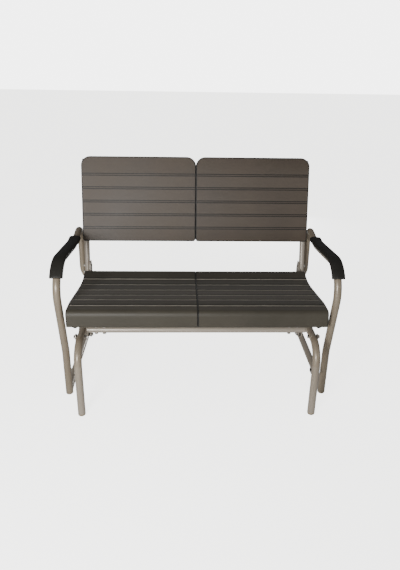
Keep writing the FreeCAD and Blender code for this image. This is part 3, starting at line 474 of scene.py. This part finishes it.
def panels():
    """The four panels with their grooves, gap and reach as the photograph shows them."""
    lean = Vector((0.0, math.sin(BACK_LEAN), math.cos(BACK_LEAN)))
    foot = Vector((0.0, lip_front + BACK_FOOT[0], BACK_FOOT[1]))

    def closer(across, half):
        """Move the outer edge from HALF's first value to its second, and nearly close the middle gap."""
        outer = abs(across)
        return math.copysign(np.interp(outer, (KEPT_GAP, half[0]), (SEEN_GAP, half[1])), across)

    for name, side in SIDES:
        seat = nodes[f"seat_panel_{name}"].data.copy()
        for vertex in seat.vertices:
            point = vertex.co
            point.x = closer(point.x, (KEPT_SEAT_HALF, SEAT_HALF))
            point.y = lip_front + np.interp(point.y - lip_front, SEAT_DEPTHS, SEAT_SEEN)
        stands_for(seat, f"seat_shell_{name}", f"seat_panel_{name}")
        back = nodes[f"back_panel_{name}"].data.copy()
        for vertex in back.vertices:
            point = vertex.co
            point.x = closer(point.x, (KEPT_BACK_HALF, BACK_HALF))
            height = (point - foot).dot(lean)
            point += lean * (np.interp(height, BACK_HEIGHTS, BACK_SEEN) - height)
        stands_for(back, f"back_shell_{name}", f"back_panel_{name}")


def hangers():
    """The front hangers, whose heads reach further back than those of the kept solids."""
    for name, side in SIDES:
        node = f"hanger_front_{name}"
        plate = nodes[node].data.copy()
        for vertex in plate.vertices:
            point = vertex.co
            share = min(max((point.z - HANGER_FOOT) / (HANGER_NECK - HANGER_FOOT), 0.0), 1.0)
            kept_axis = lip_front + HANGER_PIVOT + HANGER_KEPT * share
            seen_axis = lip_front + HANGER_PIVOT + HANGER_SEEN * share
            narrowed = 1 + (HANGER_HEAD - 1) * share
            point.y = seen_axis + (point.y - kept_axis) * narrowed
        stands_for(plate, f"hanger_plate_{name}", node)


def lines_at(graph, along, centres, half):
    """1 within HALF of each of the centres, 0 beside them."""
    total = 0.0
    for centre in centres:
        off = graph.math("ABSOLUTE", graph.math("SUBTRACT", along, centre))
        line = graph.between(off, LINE_ENDS[0] * half, LINE_ENDS[1] * half)
        total = graph.math("MAXIMUM", total, line)
    return total


def near_rim(graph, across, along):
    """1 close to the outline of a back panel, whose upper corners are rounder than its lower ones."""
    corner = graph.between(along, *BACK_CORNERS_CHANGE, BACK_LOW_CORNER, BACK_TOP_CORNER)
    outer = graph.math("ABSOLUTE", across)
    over = []
    for value, half in ((outer, BACK_HALF / 2), (along, BACK_LENGTH / 2)):
        off = graph.math("ABSOLUTE", graph.math("SUBTRACT", value, half))
        over.append(graph.math("SUBTRACT", off, graph.math("SUBTRACT", half, corner)))
    squares = [graph.math("POWER", graph.math("MAXIMUM", value, 0.0), 2.0) for value in over]
    reach = graph.math("SQRT", graph.math("ADD", *squares))
    inside = graph.math("MINIMUM", graph.math("MAXIMUM", *over), 0.0)
    edge = graph.math("SUBTRACT", graph.math("ADD", reach, inside), corner)
    return graph.between(edge, -RIM_SHADE * RIM_ENDS[0], -RIM_SHADE * RIM_ENDS[1])


def turned_away(graph, directions):
    """Where the surface faces one of the DIRECTIONS, as at the panels' rounded edges that get painted shade.
    """
    normal = graph.add("ShaderNodeTexCoord").outputs["Normal"]
    total = 0.0
    for direction in directions:
        node = graph.add("ShaderNodeVectorMath", operation="DOT_PRODUCT")
        graph.put(normal, node.inputs[0])
        node.inputs[1].default_value = direction
        total = graph.math("MAXIMUM", total, node.outputs["Value"])
    return graph.between(total, *TURNED_FROM)


def worn_edges(graph):
    """Where the surface bends sharply outwards."""
    geometry = graph.add("ShaderNodeNewGeometry")
    return graph.between(geometry.outputs["Pointiness"], *WORN_FROM)


def frame_coat():
    """Champagne powder coat on steel: fine flakes, orange peel, dust and rubbed edges."""
    graph = Graph("frame_coat")
    where = graph.coordinates()
    flakes = graph.noise(where, scale=2600.0, detail=2.0, rough=0.7)
    clouds = graph.noise(where, scale=6.0, detail=4.0, rough=0.6)
    dust = graph.between(graph.noise(where, scale=38.0, detail=5.0, rough=0.65), 0.45, 0.75)
    base = graph.mix(graph.between(clouds, 0.3, 0.7), colour(136, 123, 104), colour(149, 136, 117))
    base = graph.mix(graph.between(flakes, 0.48, 0.72, 0.0, 0.32), base, colour(196, 184, 166))
    base = graph.mix(graph.math("MULTIPLY", dust, 0.20), base, colour(122, 109, 90))
    base = graph.mix(graph.math("MULTIPLY", worn_edges(graph), 0.35), base, colour(205, 198, 188))
    rough = graph.between(graph.math("ADD", dust, clouds), 0.2, 1.5, 0.30, 0.46)
    dimples = graph.noise(where, scale=420.0, detail=2.0, rough=0.5)
    peel = graph.bump(dimples, distance=0.00012, strength=0.5)
    sparkle = graph.bump(flakes, distance=0.00002, strength=0.35, under=peel)
    return graph.finish(Base_Color=base, Metallic=0.2, Roughness=rough, Normal=sparkle,
                        Coat_Weight=0.18, Coat_Roughness=0.2)


def panel_along(graph, foot, lean):
    """How far a point lies from FOOT, given as depth and height, along a line that leans by LEAN."""
    parts = graph.add("ShaderNodeSeparateXYZ", Vector=graph.coordinates()).outputs
    depth = graph.math("MULTIPLY", graph.math("SUBTRACT", parts["Y"], foot[0]), math.sin(lean))
    height = graph.math("MULTIPLY", graph.math("SUBTRACT", parts["Z"], foot[1]), math.cos(lean))
    return graph.math("ADD", depth, height)


def moulded(name, dark, light, foot, lean, lines, edges, dim, rim=False):
    """Moulded plastic panel: fine leathery grain, faint flow streaks and worn edges, with painted shade and
    painted highlight lines along the grooves and painted shade on turned edges and rims.
    """
    graph = Graph(name)
    where = graph.coordinates()
    streaks = graph.noise(graph.coordinates(scale=(3.0, 60.0, 60.0)), scale=4.0, detail=5.0, rough=0.6)
    clouds = graph.noise(where, scale=3.5, detail=4.0, rough=0.55)
    pebbles = graph.cells(where, scale=900.0)
    wrinkles = graph.noise(graph.coordinates(scale=(1.0, 1.6, 1.6)), scale=260.0, detail=5.0, rough=0.65)
    tone = graph.mix(graph.between(clouds, 0.3, 0.7), dark, light)
    tone = graph.mix(graph.between(streaks, 0.35, 0.75, 0.0, 0.35), tone, light)
    tone = graph.mix(graph.between(pebbles, 0.0, 0.5, 0.35, 0.0), tone, dark)
    tone = graph.mix(graph.math("MULTIPLY", worn_edges(graph), 0.35), tone, colour(120, 111, 101))
    along = panel_along(graph, foot, lean)
    # Painted shade and painted highlight lines along the grooves
    for centres, (half, cover), shade in lines:
        line = lines_at(graph, along, centres, half)
        tone = graph.mix(graph.math("MULTIPLY", line, cover), tone, shade)
    # Painted shade where the panels' rounded edges and the seat's underside turn away from the light
    tone = graph.mix(graph.math("MULTIPLY", turned_away(graph, edges), EDGE_COVER), tone, dim)
    across = graph.add("ShaderNodeSeparateXYZ", Vector=graph.coordinates()).outputs["X"]
    # Painted shade round the back panels' rims, or along the seat's middle gap and outer sides
    if rim:
        shaded = near_rim(graph, across, along)
    else:
        shaded = lines_at(graph, across, (-SEAT_HALF, 0.0, SEAT_HALF), MIDDLE_SHADE)
    tone = graph.mix(graph.math("MULTIPLY", shaded, RIM_COVER), tone, dim)
    rough = graph.between(graph.math("ADD", clouds, wrinkles), 0.5, 1.5, 0.44, 0.62)
    grain = graph.bump(wrinkles, distance=0.0005, strength=0.35)
    grain = graph.bump(pebbles, distance=0.00022, strength=0.5, under=grain)
    grain = graph.bump(streaks, distance=0.0004, strength=0.15, under=grain)
    return graph.finish(Base_Color=tone, Roughness=rough, Normal=grain, Specular_IOR_Level=0.45,
                        Sheen_Weight=0.08, Sheen_Roughness=0.5)


def soft_black():
    """Black moulded grip: matt, finely pitted, with greyish rubbed shoulders."""
    graph = Graph("soft_black")
    where = graph.coordinates()
    pits = graph.cells(where, scale=1400.0)
    clouds = graph.noise(where, scale=14.0, detail=4.0, rough=0.6)
    tone = graph.mix(graph.between(clouds, 0.3, 0.7), colour(27, 26, 22), colour(38, 36, 31))
    tone = graph.mix(graph.math("MULTIPLY", worn_edges(graph), 0.3), tone, colour(84, 79, 72))
    rough = graph.between(clouds, 0.3, 0.7, 0.50, 0.66)
    skin = graph.bump(pits, distance=0.00015, strength=0.5)
    dents = graph.noise(where, scale=160.0, detail=4.0, rough=0.6)
    skin = graph.bump(dents, distance=0.0003, strength=0.3, under=skin)
    return graph.finish(Base_Color=tone, Roughness=rough, Normal=skin, Specular_IOR_Level=0.4)


def cap_plastic():
    """Foot caps moulded in the colour of the coat: matt, finely pitted, scuffed towards the floor."""
    graph = Graph("cap_plastic")
    where = graph.coordinates()
    clouds = graph.noise(where, scale=60.0, detail=4.0, rough=0.6)
    height = graph.add("ShaderNodeSeparateXYZ", Vector=where).outputs["Z"]
    tone = graph.mix(graph.between(clouds, 0.3, 0.7), colour(140, 125, 100), colour(156, 141, 116))
    low_down = graph.between(height, 0.010, 0.0)
    scuffed = graph.math("MULTIPLY", low_down, graph.between(clouds, 0.3, 0.6, 0.3, 0.9))
    tone = graph.mix(scuffed, tone, colour(96, 86, 70))
    skin = graph.bump(graph.cells(where, scale=1400.0), distance=0.00012, strength=0.5)
    return graph.finish(Base_Color=tone, Roughness=0.55, Normal=skin, Specular_IOR_Level=0.4)


def bright_zinc():
    """Zinc-plated fasteners: metal with a cloudy bloom and fine turning marks."""
    graph = Graph("bright_zinc")
    where = graph.coordinates()
    bloom = graph.noise(where, scale=120.0, detail=4.0, rough=0.6)
    marks = graph.noise(graph.coordinates(scale=(1.0, 30.0, 30.0)), scale=300.0, detail=3.0, rough=0.5)
    tone = graph.mix(graph.between(bloom, 0.35, 0.7), colour(214, 210, 203), colour(176, 170, 160))
    rough = graph.between(bloom, 0.3, 0.7, 0.20, 0.38)
    turned = graph.bump(marks, distance=0.00008, strength=0.4)
    return graph.finish(Base_Color=tone, Metallic=1.0, Roughness=rough, Normal=turned)


def dress(names, material):
    """Give the kept nodes one material."""
    for name in names:
        own_slots = nodes[name].data.materials
        own_slots.clear()
        own_slots.append(material)


def smooth(names, angle):
    """Shade round faces smoothly and keep creases sharper than ANGLE."""
    for name in names:
        mesh = nodes[name].data
        mesh.shade_smooth()
        mesh.set_sharp_from_angle(angle=angle)


def dress_frame():
    """Materials on the kept nodes, then the pieces that replace some of them."""
    finishes = {
        "frame_coat": frame_coat(), "black_plastic": soft_black(), "bright_zinc": bright_zinc(),
    }
    # The colour of all the painted shade on the panels
    dim = colour(16, 14, 11)
    # Painted highlight lines along the front of each seat groove, and painted shade lines behind them
    highlight_centres = [centre - GROOVE_APART / 2 for centre in SEAT_SEEN[1:-1]]
    shaded = [centre + GROOVE_APART / 2 for centre in SEAT_SEEN[1:-1]]
    seat = moulded(
        "seat_plastic", colour(55, 51, 41), colour(69, 64, 53), (lip_front, 0.0), math.pi / 2,
        ((shaded, SEAT_SHADED, dim), (highlight_centres, SEAT_HIGHLIGHT, colour(172, 166, 152))),
        ((1, 0, 0), (-1, 0, 0), (0, 0, -1)), dim)
    # Painted shade lines on both sides of each back groove
    paired = [centre + way * GROOVE_APART / 2 for centre in BACK_GROOVES for way in (-1, 1)]
    rise = (0.0, math.sin(BACK_LEAN), math.cos(BACK_LEAN))
    back = moulded(
        "back_plastic", colour(62, 52, 42), colour(82, 70, 57),
        (lip_front + BACK_FOOT[0], BACK_FOOT[1]), BACK_LEAN, ((paired, BACK_SHADED, dim),),
        ((1, 0, 0), (-1, 0, 0), rise, tuple(-value for value in rise)), dim, rim=True)
    for node, slot in slots.items():
        if slot == "panel_plastic":
            dress([node], back if node.startswith("back") else seat)
        else:
            dress([node], finishes[slot])
    dress([node for node in slots if node.startswith("foot_cap")], cap_plastic())
    smooth(slots, SMOOTH_BELOW)
    panels()
    hangers()
    hoops(finishes["frame_coat"])
    pads(finishes["black_plastic"])
    pad_screws(finishes["bright_zinc"])


def stage():
    """A pale floor that reaches behind the bench, a bright backdrop and five lamps."""
    bpy.ops.mesh.primitive_plane_add(size=FLOOR_SIZE, location=FLOOR_MIDDLE)
    floor = bpy.context.object
    floor.name = "studio_floor"
    graph = Graph("studio_floor")
    speckle = graph.noise(graph.coordinates(), scale=40.0, detail=3.0, rough=0.5)
    tone = graph.mix(graph.between(speckle, 0.3, 0.7), colour(246, 246, 245), colour(250, 250, 250))
    seen = graph.add("ShaderNodeLightPath").outputs["Is Camera Ray"]
    floor.data.materials.append(graph.finish(
        Base_Color=tone, Roughness=0.9, Emission_Color=colour(255, 255, 253),
        Emission_Strength=graph.math("MULTIPLY", seen, FLOOR_GLOW)))
    world = bpy.data.worlds.new("studio")
    world.use_nodes = True
    tree = world.node_tree
    seen = tree.nodes.new("ShaderNodeLightPath").outputs["Is Camera Ray"]
    strength = tree.nodes.new("ShaderNodeMapRange")
    tree.links.new(seen, strength.inputs["Value"])
    strength.inputs["To Min"].default_value = WORLD_LIGHT
    strength.inputs["To Max"].default_value = BACKDROP
    backdrop = tree.nodes["Background"]
    backdrop.inputs["Color"].default_value = (1.0, 1.0, 1.0, 1.0)
    tree.links.new(strength.outputs["Result"], backdrop.inputs["Strength"])
    bpy.context.scene.world = world
    for name, spot, aim, width, power in LAMPS:
        light = bpy.data.lights.new(name, "AREA")
        light.size = width
        light.energy = power
        lamp = bpy.data.objects.new(name, light)
        lamp.matrix_world = looking(spot, aim)
        bpy.context.scene.collection.objects.link(lamp)


def looking(spot, aim):
    """The placement of a lamp at SPOT that faces AIM."""
    ahead = Matrix.Translation(aim).translation - Matrix.Translation(spot).translation
    return Matrix.Translation(spot) @ ahead.to_track_quat("-Z", "Y").to_matrix().to_4x4()


def camera():
    lens = bpy.data.cameras.new("photo_camera")
    lens.sensor_fit = "HORIZONTAL"
    lens.sensor_width = SENSOR_WIDTH
    lens.lens = FOCAL_PIXELS * SENSOR_WIDTH / PHOTO_WIDTH
    lens.clip_start = NEAR_CLIP
    viewer = bpy.data.objects.new("photo_camera", lens)
    across, ahead, height = CAMERA_PLACE
    viewer.matrix_world = (
        Matrix.Translation((across, lip_front + ahead, height))
        @ Matrix.Rotation(-CAMERA_YAW, 4, "Z")
        @ Matrix.Rotation(math.pi / 2 - CAMERA_PITCH, 4, "X")
        @ Matrix.Rotation(CAMERA_ROLL, 4, "Z")
    )
    bpy.context.scene.collection.objects.link(viewer)
    bpy.context.scene.camera = viewer


dress_frame()
stage()
camera()
bpy.context.view_layer.update()
